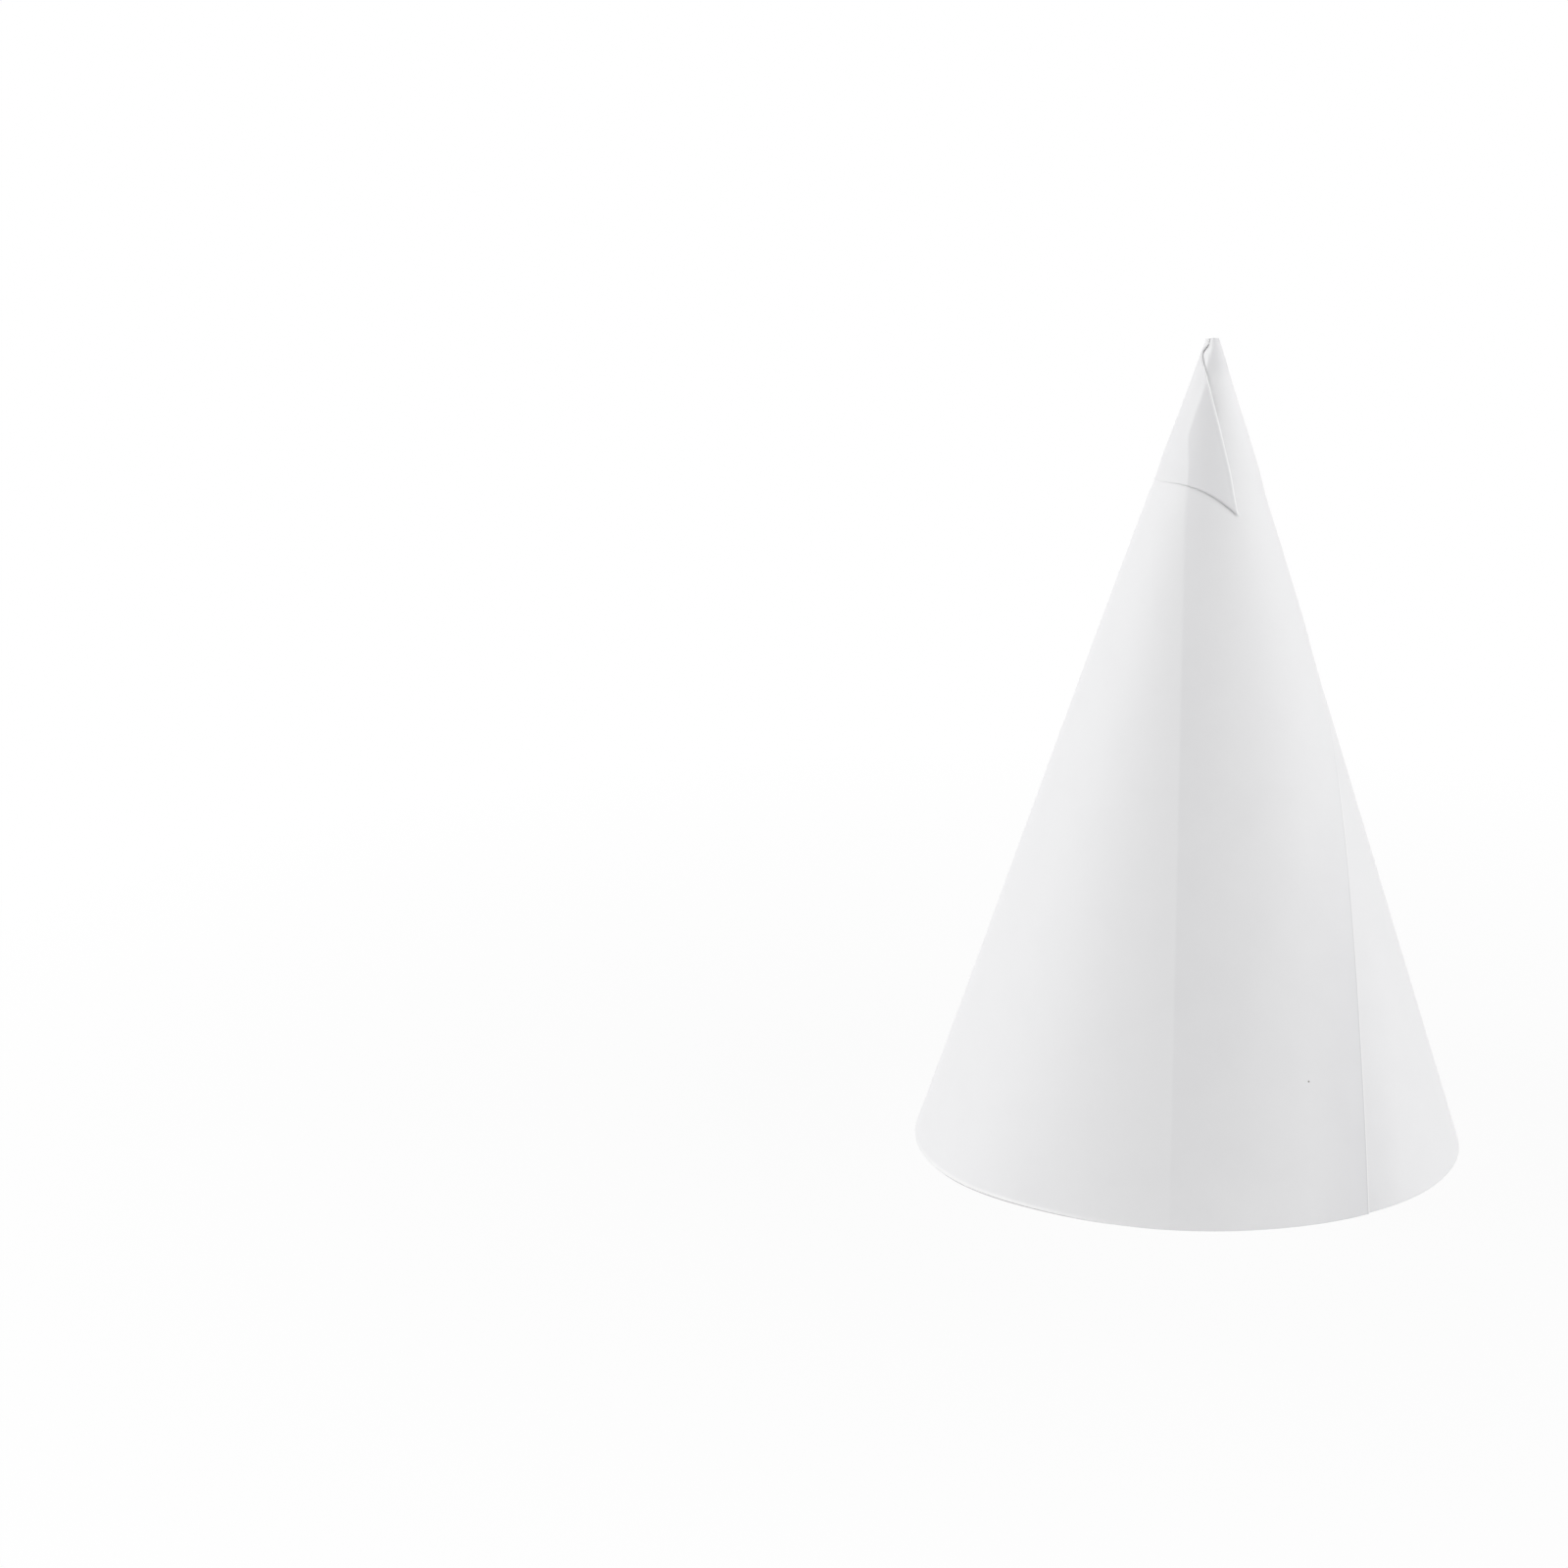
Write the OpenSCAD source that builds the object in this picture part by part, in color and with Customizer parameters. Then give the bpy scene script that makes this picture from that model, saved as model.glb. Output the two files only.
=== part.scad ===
// Cone paper cup, standing on its open rim with its point up.
// One fan-shaped paper blank is wound round a cone and glued where it laps itself: a little more
// than once round at the rim, and more than twice round at the point.
// The origin is the middle of the rim's plane, and +Z runs up the cone's axis.
// Angles are counted along the winding: 0 is the front (-Y), and they grow towards +X.
// Distances called "from the point" run along the cone's side, from the place where its sides meet.

/* [Cup] */
// Outside diameter of the open rim
rim_d = 76; // [60:1:90]
// Height from the rim to the cut tip
cup_h = 112.2; // [95:0.1:140]
// Outside diameter of the cut tip
tip_d = 1.84; // [1.4:0.02:4]

/* [Paper] */
// Thickness of the paper
paper_t = 0.25; // [0.15:0.01:0.4]
// Thickness of the glue film between one turn and the next
glue_t = 0.04; // [0.03:0.01:0.1]

/* [Outer end of the blank] */
// Angle at which the outer cut meets the rim
seam_a = 32.5; // [0:0.5:90]
// Distance of the outer cut from the point, where it passes nearest
outer_cut = 21.8; // [14:0.1:32]
// Length of the outer cut past its nearest place, which is the free edge of the tail
tail_len = 12.9; // [6:0.1:20]
// Drop of the tail's corner below the straight line of the cut
tail_drop = 1.3; // [0:0.1:3]
// Height by which the tail's corner stands off the turn below it
tail_lift = 0.3; // [0:0.05:1]

/* [Inner end of the blank] */
// Width of the lap, along the rim
lap_w = 27.7; // [10:0.1:40]
// Distance at which the line of the inner cut passes the point
inner_cut = 2.7; // [1:0.1:6]
// Distance of the inner end's corner from the point
inner_corner = 16; // [10:0.5:30]

/* [Tip] */
// Distance at which the short cut of each end passes the point
tip_cut = 2.2; // [1:0.1:4]

/* [Fineness] */
// Widest step between two straight lines of the cone, in degrees of winding
step_a = 3; // [2:0.5:6]

/* [Hidden] */
paper_white = "whitesmoke";

// The cone that the blank is wound on
apex_h = cup_h * rim_d / (rim_d - tip_d);
side_a = atan(rim_d / 2 / apex_h);
side_sin = sin(side_a);
side_cos = cos(side_a);
rim_s = rim_d / 2 / side_sin;
tip_s = tip_d / 2 / side_sin;

// Winding angles at the rim: the blank starts under the lap and ends at the seam, over one turn on
turn = 360;
rim_end = seam_a + turn;
rim_start = seam_a - lap_w / (rim_d / 2) * 180 / PI;
middle_a = rim_end - turn / 2;
pitch = paper_t + glue_t;

// Flat angles of the blank are winding angles times side_sin, so its straight cuts are worked out there
outer_foot = rim_end + acos(outer_cut / rim_s) / side_sin;
tail_end = outer_foot + atan(tail_len / outer_cut) / side_sin;
inner_aim = rim_start + asin(inner_cut / rim_s) / side_sin;
inner_end = inner_aim - asin(inner_cut / inner_corner) / side_sin;
tail_aim = tail_end + asin(tip_cut / outer_line(tail_end)) / side_sin;
start_aim = inner_end - asin(tip_cut / inner_corner) / side_sin;
same_a = 0.001;

// Share of the free tail that lies behind an angle: 0 up to where it comes free, 1 at its corner
function tail_share(a) = max(0, (a - outer_foot) / (tail_end - outer_foot));

// Distances from the point to the long cuts and to the short ones beside the tip
function outer_line(a) = outer_cut / cos((a - outer_foot) * side_sin) + tail_drop * pow(tail_share(a), 4);
function inner_line(a) = inner_cut / sin((inner_aim - a) * side_sin);
function short_cut(flat_a) = flat_a < 90 ? tip_cut / sin(flat_a) : tip_cut;

// Distances from the point at which the sheet begins and ends on one straight line of the cone
function top_s(a) =
    max(tip_s, short_cut((a - start_aim) * side_sin), short_cut((tail_aim - a) * side_sin));
function bottom_s(a, off) =
    a < rim_start - same_a ? inner_line(a)
    : a > rim_end + same_a ? outer_line(a)
    : (apex_h + off * side_sin) / side_cos;

// How far the sheet's outer face stands off the cone: each turn lies one pitch outside the last
function outer_off(a) = pitch * (a - middle_a) / turn + tail_lift * pow(tail_share(a), 2);

// A place on the sheet, from its winding angle, its distance from the point and its height off the cone
function sheet_point(a, s, off) =
    let (r = s * side_sin + off * side_cos)
    [r * sin(a), -r * cos(a), apex_h - s * side_cos + off * side_sin];

// Winding angles of the straight lines that the sheet is drawn with, alike in every turn
function sorted(list) =
    len(list) < 2 ? list
    : concat(sorted([for (x = list) if (x < list[0] - same_a) x]), [list[0]],
             sorted([for (x = list) if (x > list[0] + same_a) x]));
function wrapped(a) = a - turn * floor(a / turn);
corner_a = sorted([for (a = [inner_end, rim_start, rim_end, tail_end]) wrapped(a)]);
one_turn = [
    for (i = [0 : len(corner_a) - 1])
    let (from = corner_a[i])
    let (to = i + 1 < len(corner_a) ? corner_a[i + 1] : corner_a[0] + turn)
    let (steps = ceil((to - from) / step_a))
    for (j = [0 : steps - 1]) from + (to - from) * j / steps
];
lines = [
    for (t = [floor(inner_end / turn) : floor(tail_end / turn)], a = one_turn)
    if (a + turn * t > inner_end - same_a && a + turn * t < tail_end + same_a) a + turn * t
];
last = len(lines) - 1;

// Corners of the sheet on each line: two at the pointed ends, and four between them
sheet_points = [
    for (i = [0 : last])
    let (a = lines[i], off_out = outer_off(a), off_in = off_out - paper_t)
    for (off = [off_out, off_in])
    for (s = i == 0 || i == last ? [bottom_s(a, off)] : [top_s(a), bottom_s(a, off)])
    sheet_point(a, s, off)
];

// Where a line's corners stand in that list
function first_of(i) = i == 0 ? 0 : 4 * i - 2;
function outer_top(i) = first_of(i);
function outer_bottom(i) = i == 0 || i == last ? first_of(i) : first_of(i) + 1;
function inner_top(i) = i == 0 || i == last ? first_of(i) + 1 : first_of(i) + 2;
function inner_bottom(i) = i == 0 || i == last ? first_of(i) + 1 : first_of(i) + 3;

// A four-cornered face as triangles, without those that a pointed end takes away
function split(p) =
    [for (f = [[p[0], p[1], p[2]], [p[0], p[2], p[3]]]) if (f[0] != f[1] && f[1] != f[2] && f[2] != f[0]) f];
sheet_faces = [
    for (i = [0 : last - 1])
    let (j = i + 1)
    for (face = [
        [outer_top(i), outer_top(j), outer_bottom(j), outer_bottom(i)],
        [inner_top(j), inner_top(i), inner_bottom(i), inner_bottom(j)],
        [outer_top(j), outer_top(i), inner_top(i), inner_top(j)],
        [outer_bottom(i), outer_bottom(j), inner_bottom(j), inner_bottom(i)]
    ])
    for (f = split(face)) f
];

// The wound blank, one sheet of paper from its inner end to the corner of its tail
module cup() {
    color(paper_white) polyhedron(sheet_points, sheet_faces);
}

cup();
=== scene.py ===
import bpy
import numpy as np
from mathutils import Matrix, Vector


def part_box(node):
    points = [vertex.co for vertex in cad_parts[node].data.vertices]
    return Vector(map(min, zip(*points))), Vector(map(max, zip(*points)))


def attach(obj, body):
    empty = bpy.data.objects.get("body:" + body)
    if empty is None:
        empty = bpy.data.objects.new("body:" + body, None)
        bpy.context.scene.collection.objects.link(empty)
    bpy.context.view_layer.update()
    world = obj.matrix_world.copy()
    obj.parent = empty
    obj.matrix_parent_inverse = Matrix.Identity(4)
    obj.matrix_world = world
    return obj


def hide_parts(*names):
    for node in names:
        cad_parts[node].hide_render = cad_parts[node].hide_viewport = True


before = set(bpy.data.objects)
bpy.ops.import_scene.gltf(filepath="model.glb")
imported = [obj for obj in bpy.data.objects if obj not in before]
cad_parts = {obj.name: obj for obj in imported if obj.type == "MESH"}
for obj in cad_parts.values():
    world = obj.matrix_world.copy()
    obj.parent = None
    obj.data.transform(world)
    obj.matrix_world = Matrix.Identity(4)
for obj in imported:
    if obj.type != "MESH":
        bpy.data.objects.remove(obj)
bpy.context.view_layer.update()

# The cup
# One fan of white paper is wound round a cone-shaped former and glued where it laps itself: a little
# over once round at the rim, and over twice round at the point. Each turn climbs over the inner end of
# the turn below, and the last corner of the fan is a small tail that stands off near the point.
MM = 0.001
TURN = 2 * np.pi
low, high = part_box("cup")
rim_r = (high.x - low.x + high.y - low.y) / 4
tip_r = 0.87 * MM
apex_h = high.z * rim_r / (rim_r - tip_r)
side = np.arctan(rim_r / apex_h)
side_sin = np.sin(side)
side_cos = np.cos(side)
rim_s = rim_r / side_sin
tip_s = tip_r / side_sin
paper_t = 0.25 * MM
glue_t = 0.04 * MM
pitch = paper_t + glue_t

# Straight cuts of the flat blank, as in the solid. Distances run down the cone's side from its point,
# and winding angles grow from the front (-Y) towards +X. A short cut is given by how near its line passes
# the point, and by its aim, the angle that the line runs off to.
seam_a = np.radians(32.5)
lap_w = 27.7 * MM
outer_cut = 21.8 * MM
tail_len = 12.9 * MM
inner_cut = 2.7 * MM
inner_corner = 16 * MM
tip_cut = 2.2 * MM
tail_tip_cut = 2.6 * MM
least_from_aim = 0.01


def from_aim(nearest, s):
    """Winding angle from a short cut's aim to its place at a distance from the point."""
    return np.arcsin(np.minimum(nearest / s, 1)) / side_sin


def short_cut(nearest, wind_from_aim):
    """Distance from the point to a short cut, by the winding angle from the cut's aim."""
    return nearest / np.sin(np.clip(wind_from_aim * side_sin, least_from_aim, np.pi / 2))


rim_end = seam_a + TURN
rim_start = seam_a - lap_w / rim_r
outer_foot = rim_end + np.arccos(outer_cut / rim_s) / side_sin
tail_end = outer_foot + np.arctan(tail_len / outer_cut) / side_sin
inner_aim = rim_start + from_aim(inner_cut, rim_s)
inner_end = inner_aim - from_aim(inner_cut, inner_corner)
start_aim = inner_end - from_aim(tip_cut, inner_corner)

# The long outer cut sags below its straight line, behind the tail and late towards the tail's corner
droop = 1.15 * MM
droop_a = 2 * TURN - np.radians(95)
droop_half = np.radians(95)
tail_drop = 1.55 * MM
tail_drop_power = 5


def grows(value, start, full):
    """Grows evenly from 0 at the start to 1 at the full value, which may be the smaller of the two."""
    return np.clip((value - start) / (full - start), 0, 1)


def rises(value, start, full):
    """Grows softly from 0 at the start to 1 at the full value, which may be the smaller of the two."""
    share = grows(value, start, full)
    return share * share * (3 - 2 * share)


def hump(away, half):
    """A soft hump: 1 in its middle, and 0 past its half width."""
    return np.cos(np.clip(away / half, -1, 1) * np.pi / 2) ** 2


def tail_share(wind):
    """Part of the free tail that lies behind an angle: 0 where it comes free, 1 at its corner."""
    return grows(wind, outer_foot, tail_end)


def outer_sag(wind):
    """How far the long outer cut sags below its straight line."""
    return droop * hump(wind - droop_a, droop_half) + tail_drop * tail_share(wind) ** tail_drop_power


def outer_line(wind):
    """Distance from the point to the long outer cut."""
    return outer_cut / np.cos((wind - outer_foot) * side_sin) + outer_sag(wind)


def from_outer_cut(wind, s):
    """Distance of a place on the blank from the long outer cut."""
    return outer_cut - (s - outer_sag(wind)) * np.cos((wind - outer_foot) * side_sin)


# The tail's short cut ends in a notch just below the tip, and above it a small tab reaches further round
tail_aim = tail_end + from_aim(tail_tip_cut, outer_line(tail_end))
notch_s = 4.9 * MM
notch_wind = tail_aim - from_aim(tail_tip_cut, notch_s)
notch_back = np.radians(15)
notch_back_s = 7.2 * MM
tab_reach = np.radians(33)
tab_slant = 0.65
tab_full_s = notch_s - tab_slant * (notch_s - tip_s)
tab_run = np.pi
# Towards the rim, the blank is wound on a hair further than its straight cuts
twist = np.radians(1)
twist_from_s = 75 * MM


def around(wind, s):
    """The angle round the cone: the winding angle, but for the tab and the rim, which turn further."""
    reach = tab_reach * rises(s, notch_s, tab_full_s) - notch_back * rises(s, notch_back_s, notch_s)
    near_notch = grows(wind, notch_wind - tab_run, notch_wind) ** 2
    return wind + reach * near_notch + twist * rises(s, twist_from_s, rim_s)


def from_tail_cut(wind, s):
    """Distance of a place on the blank from the short cut of the tail, or from the tab's edge."""
    flat_a = np.clip((tail_aim - wind) * side_sin, -np.pi / 2, np.pi / 2)
    return np.where(s < notch_s, (notch_wind - wind) * s * side_sin, s * np.sin(flat_a) - tail_tip_cut)


def tail_edge(s):
    """Angle of the tail's right edge: the tab's edge above the notch, and the short cut below it."""
    below_notch = tail_aim - from_aim(tail_tip_cut, s)
    return around(np.where(s < notch_s, notch_wind, below_notch), s)


# Drape: before the inner end of the turn below, stiff paper leaves the cone in a straight line and bends
# over that end. Near the point this is a sharp crease, and lower down the glue draws it out.
crease_s = 7 * MM
crease_a = np.radians(-25)
crease_run = 3 * MM
below_crease_s = [7.2 * MM, 8.6 * MM]
below_crease_a = np.radians(-17)
bend_early = 0.2 * MM
bend_least = 0.02 * MM
bend_share = 0.002
bend_wide = 0.15 * MM
wide_s = [7.5 * MM, 9 * MM, 12 * MM, 16 * MM]
corner_early = 0.2 * MM
corner_s = [11 * MM, 16 * MM, 16.5 * MM, 20 * MM]
sharp_to_s = 18 * MM
drawn_from_s = 34 * MM
drawn_a = np.radians(60)


def between(s, steps):
    """1 between the middle two of four distances, and 0 outside the outer two."""
    return rises(s, steps[0], steps[1]) * rises(s, steps[3], steps[2])


def ridge_angle(s):
    """Angle of the inner end, which the later turns bend over."""
    long_cut = inner_aim - from_aim(inner_cut, s)
    beside_tip = start_aim + from_aim(tip_cut, s)
    at_crease = crease_a * (1 - grows(s, crease_s, crease_s - crease_run) ** 2)
    at_crease = at_crease + (below_crease_a - crease_a) * rises(s, *below_crease_s)
    return np.where(s > inner_corner, long_cut, np.minimum(beside_tip, at_crease))


def past_ridge(angle, s, turns):
    """Distance past the bend over the inner end, which comes a little early in places."""
    early = bend_early * rises(s, inner_corner, 2 * inner_corner)
    early = early + corner_early * between(s, corner_s) + bend_wide * between(s, wide_s)
    return (angle - TURN * turns - ridge_angle(s)) * s * side_sin + early


def climb(angle, s, turns):
    """Share of one ply that the sheet has climbed onto the inner end, that many turns back."""
    radius = s * side_sin
    past = past_ridge(angle, s, turns)
    sharp = np.sqrt(2 * radius / side_cos * pitch)
    reach = sharp + (drawn_a * radius - sharp) * rises(s, sharp_to_s, drawn_from_s)
    bend = np.minimum(bend_least + bend_share * s + bend_wide * between(s, wide_s), reach / 2)
    before = grows(past, -reach, 0) ** 2
    slope = 2 * (1 - bend / reach) / reach
    along = np.clip(past + bend, 0, 2 * bend)
    over = (1 - bend / reach) ** 2 + slope * (along - along ** 2 / (4 * bend))
    return np.where(past < -bend, before, over) / (1 - (bend / reach) ** 2)


# The plies close up towards the point, where they are wound tighter than the straight cone, and the roll
# opens again at its very end. The point leans a hair to the right.
tight_s = 60 * MM
tight_off = 1.6 * pitch
tip_open = 0.09 * MM
open_to_s = 4.5 * MM
open_from_s = 11 * MM
lean = 0.26 * MM
lean_s = [0, 2 * MM, 20 * MM, 26 * MM]
# The tail's corner and its right cut stand off the turn below
tail_lift = 0.05 * MM
cut_lift = 0.08 * MM
cut_lift_w = 0.8 * MM
cut_lift_run = np.radians(25)
# The seam's edge stands off near the rim, less and less up to the tail, and is pressed into the glue: in
# part at the rim, fully above it, and less along the tail
seam_lift = 0.05 * MM
seam_lift_w = 0.5 * MM
press_down = 0.034 * MM
press_at_rim = 0.75
press_from = rim_end + np.radians(12)
press_full = rim_end + np.radians(30)
tail_press_power = 1.3
# The rim isn't quite round: it swells on the left of the front, and lies flatter across the front
swell = 1.0 * MM
swell_a = np.radians(-62)
swell_left = np.radians(46)
swell_right = np.radians(30)
swell_power = 20
flat_front = 0.45 * MM
flat_front_a = np.radians(12)
flat_left = np.radians(56)
flat_right = np.radians(44)
flat_power = 4
# Its cut edge is turned out a little along the swell
lip_out = 0.16 * MM
lip_h = 0.5 * MM
lip_a = np.radians(-48)
lip_left = np.radians(44)
lip_right = np.radians(38)


def hump_round(angle, middle, left, right):
    """A soft hump round the rim: 1 at its middle, and 0 past its left and right reach."""
    away = (angle - middle + np.pi) % TURN - np.pi
    return hump(away, np.where(away < 0, left, right))


def pressed(wind):
    """How far the glued edge is pressed down, as a share."""
    share = press_at_rim + (1 - press_at_rim) * rises(wind, press_from, press_full)
    return share * (1 - tail_share(wind)) ** tail_press_power


def wall_off(wind, s):
    """Height of the sheet's inner face off the straight cone, along its normal."""
    angle = around(wind, s)
    ply_painted_shade = climb(angle, s, 1) + climb(angle, s, 2)
    tight = tight_off * grows(s, tight_s, 0) ** 2
    opened = tip_open * rises(s, open_from_s, open_to_s)
    along_cut = grows(from_tail_cut(wind, s), cut_lift_w, 0) ** 2
    along_cut = along_cut * rises(wind, notch_wind, notch_wind + cut_lift_run)
    along_seam = grows(from_outer_cut(wind, s), seam_lift_w, 0) ** 2
    along_seam = along_seam * rises(wind, outer_foot, rim_end)
    lift = tail_lift * tail_share(wind) ** 2 + cut_lift * along_cut + seam_lift * along_seam
    lift = lift - press_down * pressed(wind)
    swollen = swell * hump_round(angle, swell_a, swell_left, swell_right)
    swollen = swollen * (s / rim_s) ** swell_power
    flatter = flat_front * hump_round(angle, flat_front_a, flat_left, flat_right)
    flatter = flatter * (s / rim_s) ** flat_power
    return pitch * ply_painted_shade - paper_t - tight + opened + lift + swollen - flatter


def lip_share(angle):
    """Where round the rim its cut edge is turned out: 1 where it is most, and 0 where it isn't."""
    return hump_round(angle, lip_a, lip_left, lip_right)


def lip(angle, height):
    """How far the cut edge is turned out at a height, which is that of the sheet before it is turned."""
    return lip_out * lip_share(angle) * np.maximum(1 - height / lip_h, 0) ** 2


def sheet_place(wind, s):
    """Where a place of the blank lies on the wound cup."""
    angle = around(wind, s)
    off = wall_off(wind, s)
    off = off + lip(angle, apex_h - s * side_cos + off * side_sin)
    r = s * side_sin + off * side_cos
    x = r * np.sin(angle) + lean * between(s, lean_s)
    return np.stack([x, -r * np.cos(angle), apex_h - s * side_cos + off * side_sin], -1)


def sheet_normal(wind, s):
    """The direction out of the paper at a place of the blank."""
    step_a = 0.002
    step_s = 0.03 * MM
    along = sheet_place(wind + step_a, s) - sheet_place(wind - step_a, s)
    down = sheet_place(wind, s + step_s) - sheet_place(wind, s - step_s)
    out = np.cross(down, along)
    return out / np.linalg.norm(out, axis=-1, keepdims=True)


# The tip is cut a little lower at the back. A turned-out edge is raised by its turn, so the sheet runs on
# below the table by as much, which a few rounds find.
tip_trim = 0.3 * MM
lip_rounds = 6


def top_s(wind):
    """Distance from the point at which the sheet begins."""
    tip_line = tip_s + tip_trim * (1 - np.cos(wind)) / 2
    beside_start = short_cut(tip_cut, wind - start_aim)
    beside_tail = np.where(wind > notch_wind, short_cut(tail_tip_cut, tail_aim - wind), 0)
    return np.maximum(tip_line, np.maximum(beside_start, beside_tail))


def bottom_s(wind):
    """Distance from the point at which the sheet ends: at the inner cut, the rim or the outer cut."""
    below = np.zeros_like(wind)
    for _ in range(lip_rounds):
        below = side_sin * lip(around(wind, rim_s), -below)
    rim_line = (apex_h + wall_off(wind, rim_s) * side_sin + below) / side_cos
    inner_line = short_cut(inner_cut, inner_aim - wind)
    outer = outer_line(np.maximum(wind, rim_end))
    same = 1e-6
    return np.where(wind < rim_start - same, inner_line, np.where(wind > rim_end + same, outer, rim_line))


# Straight lines of the cone that the mesh follows, closer together where the paper bends over an end
corner_gap = np.radians(0.15)
coarse = np.radians(2.2)
middling = np.radians(1)
fine = np.radians(0.5)
finest = np.radians(0.28)
closest = np.radians(0.1)
bend_margin = np.radians(2)
slit_margin = np.radians(5)
second_margin = np.radians(40)
first_bend = inner_end + TURN - bend_margin
past_bend = rim_start + TURN + bend_margin
second_bend = inner_end + 2 * TURN - second_margin
slit_line = notch_wind - TURN
beside_slit = slit_line - slit_margin
beside_seam = rim_end - bend_margin
lip_start = TURN + lip_a - lip_left
stretches = [
    (inner_end + corner_gap, rim_start, middling),
    (rim_start, lip_start, coarse),
    (lip_start, beside_slit, middling),
    (beside_slit, first_bend, fine),
    (first_bend, past_bend, finest),
    (past_bend, beside_seam, fine),
    (beside_seam, rim_end, closest),
    (rim_end, second_bend, coarse),
    (second_bend, notch_wind, fine),
    (notch_wind, tail_end - corner_gap, fine),
]
steps = [np.linspace(a, b, int(np.ceil((b - a) / step)) + 1)[:-1] for a, b, step in stretches]
winds = np.append(np.concatenate(steps), tail_end - corner_gap)
notch_line = np.argmin(np.abs(winds - notch_wind))

# Rows down each line: above the notch, beside the slit, down the wall, and close to the edge. A short line
# gives each of these only a share of its height.
tip_rows = 8
slit_rows = 20
wall_rows = 24
edge_rows = 9
tip_least = 0.5 * MM
slit_least = 2 * MM
slit_share = 0.25
slit_to_s = 10.5 * MM
edge_band = 2.2 * MM
end_share = 0.1
wall_crowding = 1.3
edge_crowding = 1.6
tops = top_s(winds)[:, None]
bottoms = bottom_s(winds)[:, None]
tall = bottoms - tops
bands = np.minimum(edge_band, end_share * tall)
forks = np.maximum(notch_s, tops + np.minimum(tip_least, end_share * tall))
forks = np.where(winds[:, None] > notch_wind, tops, forks)
slit_ends = np.maximum(slit_to_s, forks + np.minimum(slit_least, slit_share * tall))
tip_part = tops + (forks - tops) * np.linspace(0, 1, tip_rows + 1)[:-1]
slit_part = forks + (slit_ends - forks) * np.linspace(0, 1, slit_rows + 1)[:-1]
wall_part = slit_ends + (bottoms - bands - slit_ends) * np.linspace(0, 1, wall_rows) ** wall_crowding
edge_part = bottoms - bands * (1 - np.linspace(0, 1, edge_rows + 1)[1:]) ** edge_crowding
s_grid = np.concatenate([tip_part, slit_part, wall_part, edge_part], axis=1)
lines, rows = s_grid.shape

# Close to the tip, the lines of the turn below lean over to follow the slit. The tab's rows end at the
# notch, so the lines beyond it have none.
follow_half = np.radians(100)
follow_to_s = 16 * MM
follow = hump(winds[:, None] - slit_line, follow_half) * rises(s_grid, follow_to_s, slit_to_s)
wind_grid = winds[:, None] + follow * (tail_edge(s_grid) - notch_wind)
kept = (np.arange(rows)[None, :] >= tip_rows) | (np.arange(lines)[:, None] <= notch_line)

# Both faces of the paper. The tail's right cut is rounded over by the knife, though not beside the slit,
# and it thins away at the tip. The seam is rounded a little, and it and the tail's lower cut are pressed
# thin against the turn below.
knife_from = notch_wind - TURN / 4
knife_s = [3.6 * MM, 4.1 * MM, 7.5 * MM, 10 * MM]
knife_w = np.interp(s_grid, knife_s, [0.5 * MM, 0.08 * MM, 0.08 * MM, 0.32 * MM])
knife_left = 0.15
seam_w = 0.16 * MM
tail_w = 0.4 * MM
seam_left = 0.4
press_w = 3 * MM
press_left = 0.05


def rounded(distance, width, left):
    """Share of the paper's thickness beside a rounded cut."""
    return left + (1 - left) * np.sqrt(1 - grows(distance, width, 0) ** 2)


def both_faces(inner, outer):
    """Values for all the mesh's points, from those of the sheet's two faces."""
    return np.concatenate([inner[kept], outer[kept]])


from_knife = np.where(wind_grid > knife_from, from_tail_cut(wind_grid, s_grid), knife_w)
from_seam = np.maximum(from_outer_cut(wind_grid, s_grid), 0)
thin = 1 - pressed(wind_grid) * (1 - press_left) * (1 - rises(from_seam, 0, press_w))
thin = thin * rounded(from_seam, seam_w + (tail_w - seam_w) * tail_share(wind_grid), seam_left)
thick = paper_t * rounded(from_knife, knife_w, knife_left) * thin
inner_face = sheet_place(wind_grid, s_grid)
outer_face = inner_face + thick[..., None] * sheet_normal(wind_grid, s_grid)
points = both_faces(inner_face, outer_face)
inner_id = np.where(kept, np.cumsum(kept.ravel()).reshape(lines, rows) - 1, -1)
outer_id = np.where(kept, inner_id + kept.sum(), -1)


def quads(a, b, c, d):
    """Four-cornered faces from four blocks of point numbers, without those that miss a point."""
    found = np.stack([a, b, c, d], -1).reshape(-1, 4)
    return found[(found >= 0).all(axis=1)]


def cut_face(one_side, other_side):
    """The paper's cut face along one edge of the sheet."""
    return quads(one_side[:-1], one_side[1:], other_side[1:], other_side[:-1])


sharp_a = np.radians(50)
blocks = {
    "outside": quads(outer_id[:-1, :-1], outer_id[:-1, 1:], outer_id[1:, 1:], outer_id[1:, :-1]),
    "inside": quads(inner_id[:-1, :-1], inner_id[1:, :-1], inner_id[1:, 1:], inner_id[:-1, 1:]),
    "tip_end": cut_face(outer_id[:notch_line + 1, 0], inner_id[:notch_line + 1, 0]),
    "tab_cut": cut_face(outer_id[notch_line, :tip_rows + 1], inner_id[notch_line, :tip_rows + 1]),
    "tail_cut": cut_face(outer_id[notch_line:, tip_rows], inner_id[notch_line:, tip_rows]),
    "long_cuts": cut_face(inner_id[:, -1], outer_id[:, -1]),
    "start_cut": cut_face(inner_id[0], outer_id[0]),
    "corner_cut": cut_face(outer_id[-1, tip_rows:], inner_id[-1, tip_rows:]),
}
faces = np.concatenate(list(blocks.values()))
kinds = np.repeat(list(blocks), [len(block) for block in blocks.values()])
mesh = bpy.data.meshes.new("cup_sheet")
mesh.from_pydata(points.tolist(), [], faces.tolist())
mesh.shade_smooth()
mesh.set_sharp_from_angle(angle=sharp_a)

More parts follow.
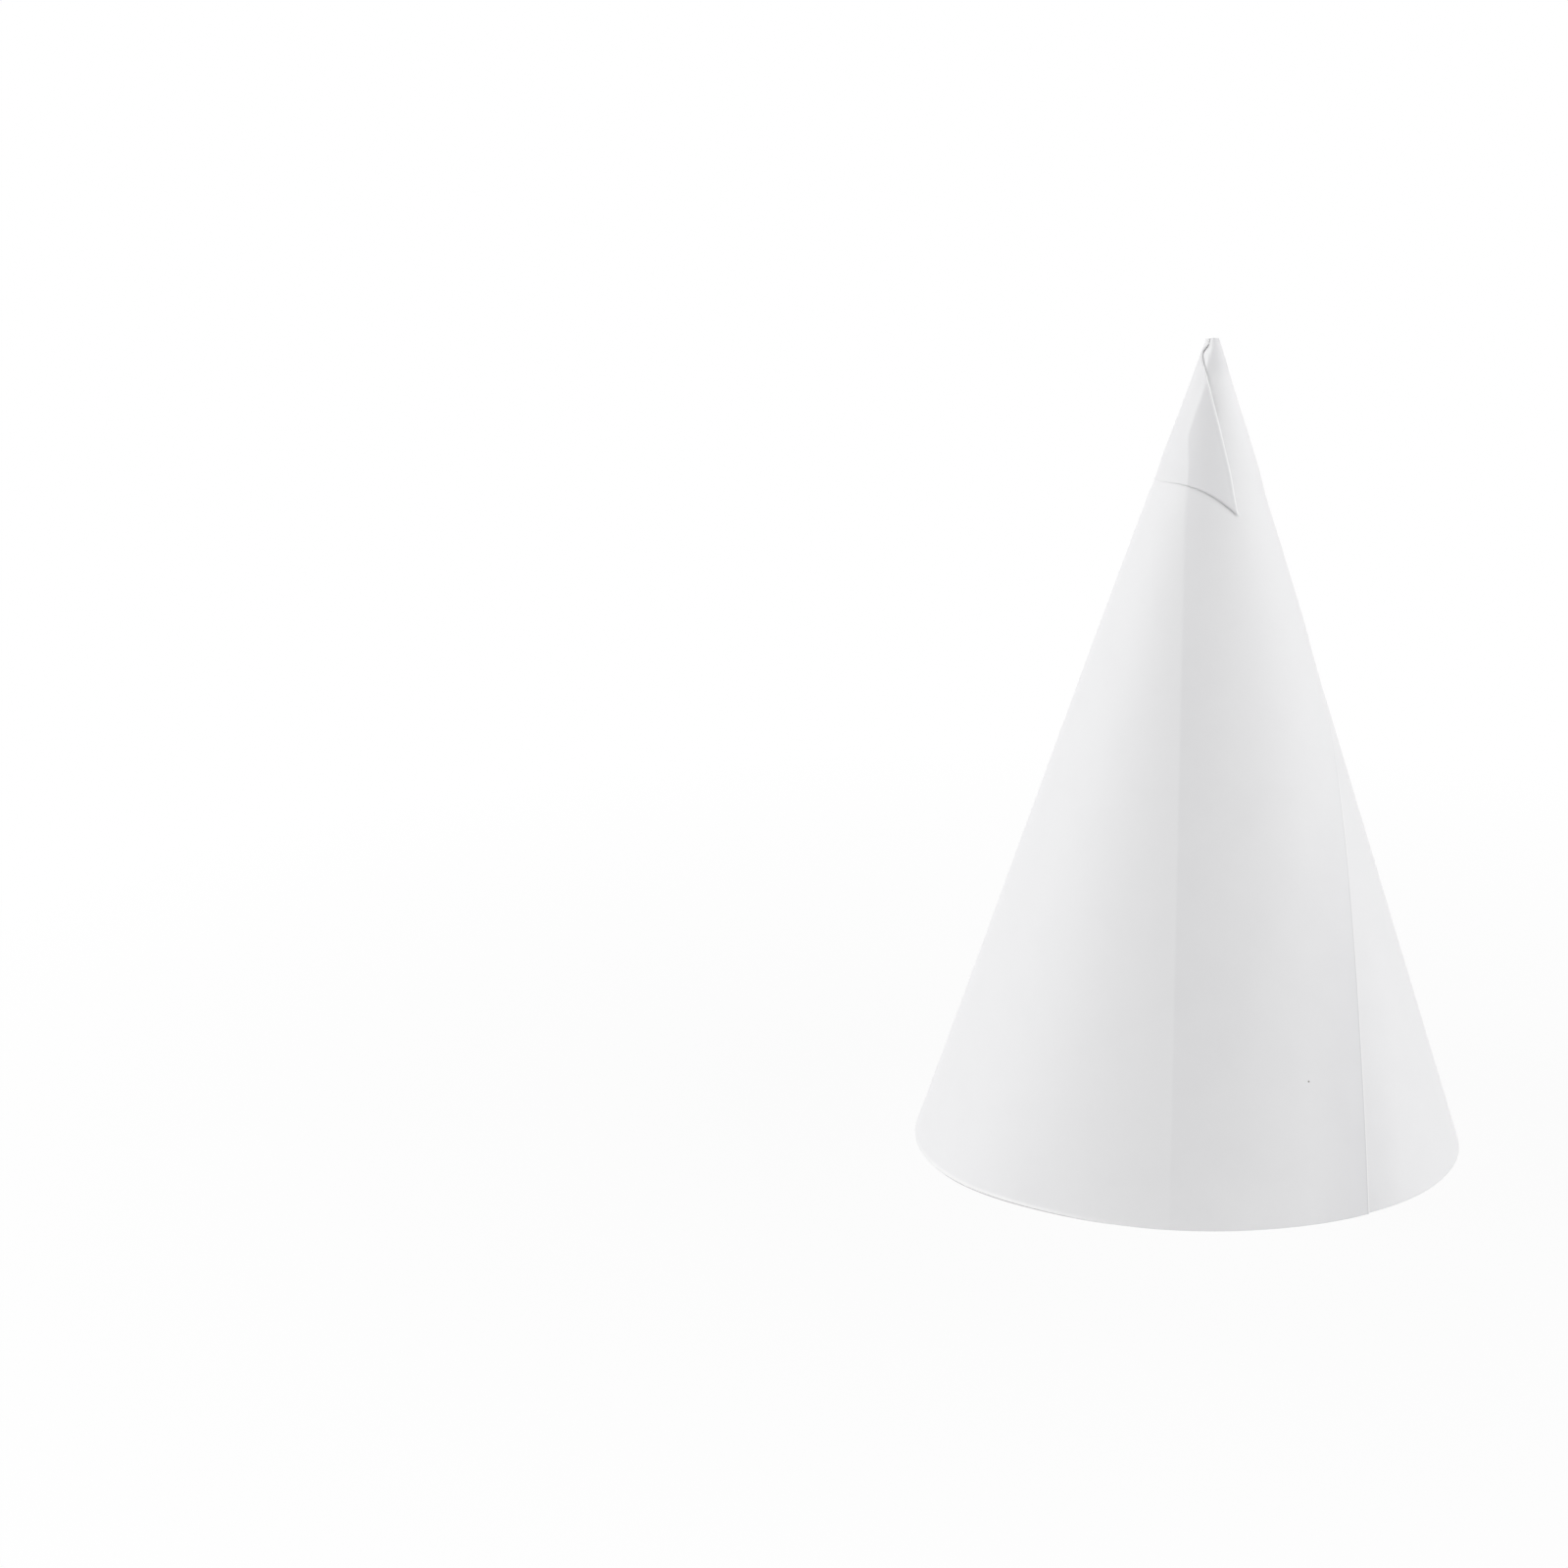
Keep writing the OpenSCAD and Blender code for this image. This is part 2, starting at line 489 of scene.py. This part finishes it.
# Where each point lies on the flat blank, for the paper's own grain
flat = wind_grid * side_sin
flat_place = np.stack([s_grid * np.cos(flat), s_grid * np.sin(flat)], -1)
blank = both_faces(flat_place, flat_place).astype(np.float32)
corner_points = np.zeros(len(mesh.loops), dtype=np.int32)
mesh.loops.foreach_get("vertex_index", corner_points)
mesh.uv_layers.new(name="blank").data.foreach_set("uv", blank[corner_points].ravel())

# Painted shade: grey painted where plies lie together and let less light through, over the lap and on the
# tail from outside, under the lap from inside, and most towards the rim on both sides of the seam; and
# painted shade on the turn below near the tip and in a thin line along the foot of the rim. The grey of the
# lap is stronger higher up, where it soon fades past the crease, and it fades in the lap's middle, towards
# the rim and round the back.
painted_ply_shade = 0.28
painted_shade_above = 0.06
above_s = [55 * MM, 80 * MM]
lap_from_s = [6 * MM, 20 * MM]
lap_low_s = [95 * MM, 120 * MM]
lap_low_fade = 0.5
lap_middle_fade = 0.75
lap_fade_w = 7 * MM
lap_fade_s = [50 * MM, 90 * MM]
back_from = TURN + np.radians(70)
back_to = TURN + np.radians(140)
painted_tail_shade = 0.18
tail_shade_full = back_to + TURN / 4
seam_edge_painted_shade = 0.72
seam_edge_shade_w = 9 * MM
seam_edge_shade_s = [60 * MM, 112 * MM]
past_seam_painted_shade = 0.55
past_seam_shade_w = 7 * MM
past_seam_shade_s = [80 * MM, 120 * MM]
painted_tip_shade = 0.45
tip_shade_s = [9 * MM, 6 * MM]
painted_rim_line_shade = 0.6
rim_line_h = 0.16 * MM
shade_soft = 0.12 * MM
hair = 0.001 * MM


def past_line(distance):
    """A step of tone across a line, with a soft edge."""
    return grows(distance, -shade_soft, shade_soft)


def add_tone(name, domain, values):
    """Stores a tone with the mesh, for its points or its faces."""
    mesh.attributes.new(name, "FLOAT", domain).data.foreach_set("value", values.astype(np.float32))


height = inner_face[..., 2]
angle_grid = around(wind_grid, s_grid)
past_lap = past_ridge(angle_grid, s_grid, 1)
on_lap = np.maximum(past_lap, 0)
across = on_lap / (on_lap + from_seam + hair)
lap_fade = grows(past_lap, 0, lap_fade_w) * (1 - rises(s_grid, *lap_fade_s))
over_lap = past_line(past_lap) * (1 - lap_fade) * grows(wind_grid, back_to, back_from)
over_lap = over_lap * (1 - lap_middle_fade * np.sin(np.pi * across) ** 2)
over_lap = over_lap * (1 - lap_low_fade * grows(s_grid, *lap_low_s)) * rises(s_grid, *lap_from_s)
over_tail = past_line(past_ridge(angle_grid, s_grid, 2))
on_tail = rises(wind_grid, back_to, tail_shade_full)
# Painted shade on both sides of the seam towards the rim, near the tip and along the foot of the rim
near_seam_edge = grows(from_seam, seam_edge_shade_w, 0) * grows(s_grid, *seam_edge_shade_s)
past_seam = np.abs(from_outer_cut(wind_grid + TURN, s_grid))
shaded_past_seam = grows(past_seam, past_seam_shade_w, 0) * grows(s_grid, *past_seam_shade_s)
at_tip = rises(s_grid, *tip_shade_s) * past_line(past_lap) * (1 - on_tail)
rim_line = grows(height, rim_line_h, 0) * (1 - lip_share(angle_grid))
painted_lap_shade = painted_ply_shade + painted_shade_above * (1 - rises(s_grid, *above_s))
outer_painted_shade = painted_lap_shade * (over_lap + over_tail) + painted_tail_shade * on_tail
outer_painted_shade = outer_painted_shade + seam_edge_painted_shade * near_seam_edge + past_seam_painted_shade * shaded_past_seam
outer_painted_shade = outer_painted_shade + painted_tip_shade * at_tip + painted_rim_line_shade * rim_line
cover_end = outer_foot - np.arccos(np.minimum(outer_cut / s_grid, 1)) / side_sin - TURN
inner_painted_shade = painted_ply_shade * past_line((cover_end - wind_grid) * s_grid * side_sin)
add_tone("painted_ply_shade", "POINT", both_faces(inner_painted_shade, outer_painted_shade))

# Raw fibres show whiter along the tail's rounded cut, the lower part of the seam and the turned-out rim,
# with a painted highlight there too, where these edges catch the light
highlit_seam_w = 0.17 * MM
highlit_rim_h = 0.5 * MM
raw_and_highlit_cut = grows(from_knife, knife_w, 0)
raw_and_highlit_seam = grows(from_seam, highlit_seam_w, highlit_seam_w / 2) * (wind_grid < press_full)
raw_and_highlit_rim = grows(height, highlit_rim_h, highlit_rim_h / 2) * lip_share(angle_grid)
raw_and_highlit_edge = np.maximum(np.maximum(raw_and_highlit_cut, raw_and_highlit_seam), raw_and_highlit_rim)
add_tone("raw_and_highlit_edge", "POINT", both_faces(raw_and_highlit_edge, raw_and_highlit_edge))

# Painted shade: the cut edge is painted dark where it looks down at the table under the lip, and where it
# lies in the slit, and a fine painted shadow follows the seam just inside its edge
lip_painted_shade = 0.32
seam_painted_shadow = 0.11
seam_shadow_at = 0.25 * MM
seam_shadow_half = 0.1 * MM
seam_shadow_s = [55 * MM, 70 * MM]
slit_s = [3.5 * MM, 3.8 * MM, 4.9 * MM, 5.4 * MM, 6.7 * MM, 7.1 * MM, 7.5 * MM, 9 * MM]
slit_painted_shade = [0, 1, 1, 0.4, 0.35, 0.9, 0.3, 0]
slit_w = [0.1 * MM, 0.1 * MM, 0.1 * MM, 0.04 * MM, 0.04 * MM, 0.08 * MM, 0.04 * MM, 0]
face_wind = both_faces(wind_grid, wind_grid)[faces].mean(axis=1)
face_s = both_faces(s_grid, s_grid)[faces].mean(axis=1)
past_tail = (face_wind + TURN - tail_edge(face_s)) * face_s * side_sin
below_slit = (kinds == "outside") & (np.abs(past_tail) < np.interp(face_s, slit_s, slit_w))
in_slit = (kinds == "tab_cut") | (kinds == "tail_cut") | below_slit
under_lip = (kinds == "long_cuts") & (face_wind < rim_end)
from_seam_shadow = np.abs(from_outer_cut(face_wind, face_s) - seam_shadow_at)
on_seam_shadow = (kinds == "outside") & (from_seam_shadow < seam_shadow_half)
painted_edge_shade = in_slit * np.interp(face_s, slit_s, slit_painted_shade) + lip_painted_shade * under_lip * lip_share(face_wind)
painted_edge_shade = painted_edge_shade + seam_painted_shadow * on_seam_shadow * grows(face_s, *seam_shadow_s)
add_tone("painted_edge_shade", "FACE", painted_edge_shade)

# White cup paper
# Bleached, uncoated paper, pressed smooth on the machine: matte and a hair cool, with a faint cloud of
# fibres in its tone, a fine tooth to its surface and one grey speck. Shade is painted into its colour where
# plies lie together, along the seam, near the tip and at the foot of the rim; a painted highlight whitens
# its raw edges, and painted shade darkens its cut edges.
PAPER_WHITE = "F2F2F3"
# The grey of the painted shade, and of the fibres' cloud of tone
PAINTED_SHADE_AND_CLOUD_GREY = "E2E2E4"
# Raw white of the cut edges, with a painted highlight
RAW_AND_HIGHLIGHT_WHITE = "FBFBFB"
# The grey of the painted shade on the cut edges and along the seam
PAINTED_EDGE_SHADE_GREY = "909092"
PAPER_ROUGHNESS = 0.62
PAPER_IOR = 1.5
FIBRE_CLOUD = 7 * MM
CLOUD_LOW = 0.3
CLOUD_HIGH = 0.7
CLOUD_SHADE = 0.06
CLOUD_DETAIL = 4.0
# Fibres are much finer than this, and are drawn as coarse as the render can show
FIBRE_TOOTH = 0.6 * MM
TOOTH_DEPTH = 0.004 * MM
TOOTH_DETAIL = 3.0
SPECK_GREY = "8C8A88"
SPECK_CORE = 0.078 * MM
SPECK_EDGE = 0.169 * MM
speck_flat = (TURN + np.radians(22.1)) * side_sin
speck_s = 102.2 * MM
speck_at = (speck_s * np.cos(speck_flat), speck_s * np.sin(speck_flat), 0)


def linear(hex_colour):
    """An sRGB hex colour as the linear colour that a shader takes."""
    parts = [int(hex_colour[i:i + 2], 16) / 255 for i in (0, 2, 4)]
    return [p / 12.92 if p <= 0.04045 else ((p + 0.055) / 1.055) ** 2.4 for p in parts] + [1.0]


def add_node(tree, kind, inputs, **settings):
    """Adds a node with its settings, and gives each named input its value or its link."""
    node = tree.nodes.new(kind)
    for name, value in settings.items():
        setattr(node, name, value)
    for name, value in inputs.items():
        if isinstance(value, bpy.types.NodeSocket):
            tree.links.new(value, node.inputs[name])
        else:
            node.inputs[name].default_value = value
    return node


def towards(tree, share, colour, other):
    """A colour that goes over to another one, given in hex, by the share that a socket gives."""
    # A mix of colours takes them at its sockets 6 and 7, and gives the result at its output 2
    mix = add_node(tree, "ShaderNodeMix", {0: share, 6: colour, 7: linear(other)}, data_type="RGBA")
    return mix.outputs[2]


paper = bpy.data.materials.new("white_cup_paper")
paper.use_nodes = True
tree = paper.node_tree
shader = tree.nodes["Principled BSDF"]
shader.inputs["Roughness"].default_value = PAPER_ROUGHNESS
shader.inputs["IOR"].default_value = PAPER_IOR
blank_uv = add_node(tree, "ShaderNodeUVMap", {}, uv_map="blank").outputs["UV"]
cloud_inputs = {"Vector": blank_uv, "Scale": 1 / FIBRE_CLOUD, "Detail": CLOUD_DETAIL}
cloud = add_node(tree, "ShaderNodeTexNoise", cloud_inputs)
cloud_shade = add_node(tree, "ShaderNodeMapRange", {
    "Value": cloud.outputs["Fac"],
    "From Min": CLOUD_LOW,
    "From Max": CLOUD_HIGH,
    "To Min": -CLOUD_SHADE,
    "To Max": CLOUD_SHADE,
})
# The painted shade of the plies, seam, tip and rim foot, with the fibres' cloud of tone added
ply_painted_shade = add_node(tree, "ShaderNodeAttribute", {}, attribute_name="painted_ply_shade").outputs["Fac"]
painted_shade_and_cloud = add_node(tree, "ShaderNodeMath", {0: ply_painted_shade, 1: cloud_shade.outputs[0]}, operation="ADD")
# Raw white and a painted highlight along the cut edges
raw_and_highlit = add_node(tree, "ShaderNodeAttribute", {}, attribute_name="raw_and_highlit_edge").outputs["Fac"]
# Painted shade on the cut edges under the lip, in the slit and along the seam
dark = add_node(tree, "ShaderNodeAttribute", {}, attribute_name="painted_edge_shade").outputs["Fac"]
speck_far = add_node(tree, "ShaderNodeVectorMath", {0: blank_uv, 1: speck_at}, operation="DISTANCE")
speck = add_node(tree, "ShaderNodeMapRange", {
    "Value": speck_far.outputs["Value"],
    "From Min": SPECK_CORE,
    "From Max": SPECK_EDGE,
    "To Min": 1.0,
    "To Max": 0.0,
})
tone = towards(tree, painted_shade_and_cloud.outputs[0], linear(PAPER_WHITE), PAINTED_SHADE_AND_CLOUD_GREY)
tone = towards(tree, raw_and_highlit, tone, RAW_AND_HIGHLIGHT_WHITE)
tone = towards(tree, dark, tone, PAINTED_EDGE_SHADE_GREY)
tone = towards(tree, speck.outputs[0], tone, SPECK_GREY)
tree.links.new(tone, shader.inputs["Base Color"])
tooth_inputs = {"Vector": blank_uv, "Scale": 1 / FIBRE_TOOTH, "Detail": TOOTH_DETAIL}
tooth = add_node(tree, "ShaderNodeTexNoise", tooth_inputs)
bump_inputs = {"Height": tooth.outputs["Fac"], "Distance": TOOTH_DEPTH, "Strength": 1.0}
bump = add_node(tree, "ShaderNodeBump", bump_inputs)
tree.links.new(bump.outputs[0], shader.inputs["Normal"])

mesh.materials.append(paper)
cup = bpy.data.objects.new("cup_paper", mesh)
bpy.context.scene.collection.objects.link(cup)
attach(cup, "root")
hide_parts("cup")

# The floor
# A plain white sweep that the cup stands on. The camera sees it white, with the soft shade that the cup
# leaves on it close by, and it is dark inside the cup.
FLOOR_HALF = 3.0
FLOOR_WHITE = "DDDDDD"
SHADE_SHOWN = 0.08
SHADE_FROM = 0.06
SHADE_TO = 0.22
inside_r = 0.9 * rim_r
corners = [(-FLOOR_HALF, -FLOOR_HALF, 0), (FLOOR_HALF, -FLOOR_HALF, 0),
           (FLOOR_HALF, FLOOR_HALF, 0), (-FLOOR_HALF, FLOOR_HALF, 0)]
floor_mesh = bpy.data.meshes.new("floor")
floor_mesh.from_pydata(corners, [], [(0, 1, 2, 3)])
floor = bpy.data.objects.new("floor", floor_mesh)
bpy.context.scene.collection.objects.link(floor)


def join(tree, operation, one, other):
    """One value from two, by an operation of the math node."""
    return add_node(tree, "ShaderNodeMath", {0: one, 1: other}, operation=operation).outputs[0]


def seen_directly(tree):
    """1 where the white is seen, straight, mirrored or through glass, and 0 where it gives light."""
    path = add_node(tree, "ShaderNodeLightPath", {})
    seen = join(tree, "MAXIMUM", path.outputs["Is Camera Ray"], path.outputs["Is Glossy Ray"])
    return join(tree, "MAXIMUM", seen, path.outputs["Is Transmission Ray"])


sweep = bpy.data.materials.new("white_paper_sweep")
sweep.use_nodes = True
tree = sweep.node_tree
tree.nodes.remove(tree.nodes["Principled BSDF"])
spot = add_node(tree, "ShaderNodeNewGeometry", {})
length = add_node(tree, "ShaderNodeVectorMath", {0: spot.outputs["Position"]}, operation="LENGTH")
away = length.outputs["Value"]
white_share = add_node(tree, "ShaderNodeMapRange", {
    "Value": away,
    "From Min": SHADE_FROM,
    "From Max": SHADE_TO,
    "To Min": 1 - SHADE_SHOWN,
    "To Max": 1.0,
})
outside_cup = join(tree, "GREATER_THAN", away, inside_r)
lit_share = join(tree, "MULTIPLY", white_share.outputs[0], outside_cup)
shown = join(tree, "MULTIPLY", seen_directly(tree), lit_share)
matte = add_node(tree, "ShaderNodeBsdfDiffuse", {"Color": linear(FLOOR_WHITE)})
glow = add_node(tree, "ShaderNodeEmission", {"Color": (1, 1, 1, 1), "Strength": 1.0})
mixed = add_node(tree, "ShaderNodeMixShader", {0: shown, 1: matte.outputs[0], 2: glow.outputs[0]})
tree.links.new(mixed.outputs[0], tree.nodes["Material Output"].inputs["Surface"])
floor_mesh.materials.append(sweep)

# The light
# An even white room and six soft boxes: strong ones on the left, on the right and high in front, and
# weaker ones far round to the right, at the back and overhead. Both flanks are light, and the front is a
# little greyer.
ROOM_LIGHT = 0.226
room = bpy.data.worlds.new("white_room")
bpy.context.scene.world = room
room.use_nodes = True
tree = room.node_tree
background = tree.nodes["Background"]
background.inputs["Color"].default_value = (1, 1, 1, 1)
room_inputs = {"Value": seen_directly(tree), "To Min": ROOM_LIGHT, "To Max": 1.0}
strength = add_node(tree, "ShaderNodeMapRange", room_inputs)
tree.links.new(strength.outputs[0], background.inputs["Strength"])

BOX_AWAY = 1.0
BOX_SIZE = 0.8
aim = Vector((0, 0, high.z / 2))
for name, azimuth, elevation, watts in [
    ("left_box", -90, 20, 5.75),
    ("right_box", 65, 20, 4.0),
    ("back_box", 110, 25, 1.65),
    ("front_box", 0, 60, 2.9),
    ("rear_box", 180, 20, 2.0),
    ("top_box", 0, 89, 0.5),
]:
    a = np.radians(azimuth)
    e = np.radians(elevation)
    lamp = bpy.data.lights.new(name, "AREA")
    lamp.shape = "RECTANGLE"
    lamp.size = BOX_SIZE
    lamp.size_y = BOX_SIZE
    lamp.energy = watts
    box = bpy.data.objects.new(name, lamp)
    box.location = aim + BOX_AWAY * Vector((np.sin(a) * np.cos(e), -np.cos(a) * np.cos(e), np.sin(e)))
    box.rotation_euler = (aim - box.location).to_track_quat("-Z", "Y").to_euler()
    bpy.context.scene.collection.objects.link(box)

# The camera
# It stands where the photograph's did, worked out from the cup's outline there, and looks a little down.
LENS = 81.48
SENSOR = 36
NEAREST_SEEN = 0.01
EYE = (-56.854 * MM, -472.099 * MM, 177.044 * MM)
LOOK_DOWN = np.radians(14.98884)
camera_data = bpy.data.cameras.new("camera")
camera_data.lens = LENS
camera_data.sensor_width = SENSOR
camera_data.clip_start = NEAREST_SEEN
camera = bpy.data.objects.new("camera", camera_data)
camera.location = EYE
camera.rotation_euler = (np.pi / 2 - LOOK_DOWN, 0, 0)
bpy.context.scene.collection.objects.link(camera)
bpy.context.scene.camera = camera
bpy.context.scene.view_settings.view_transform = "Standard"
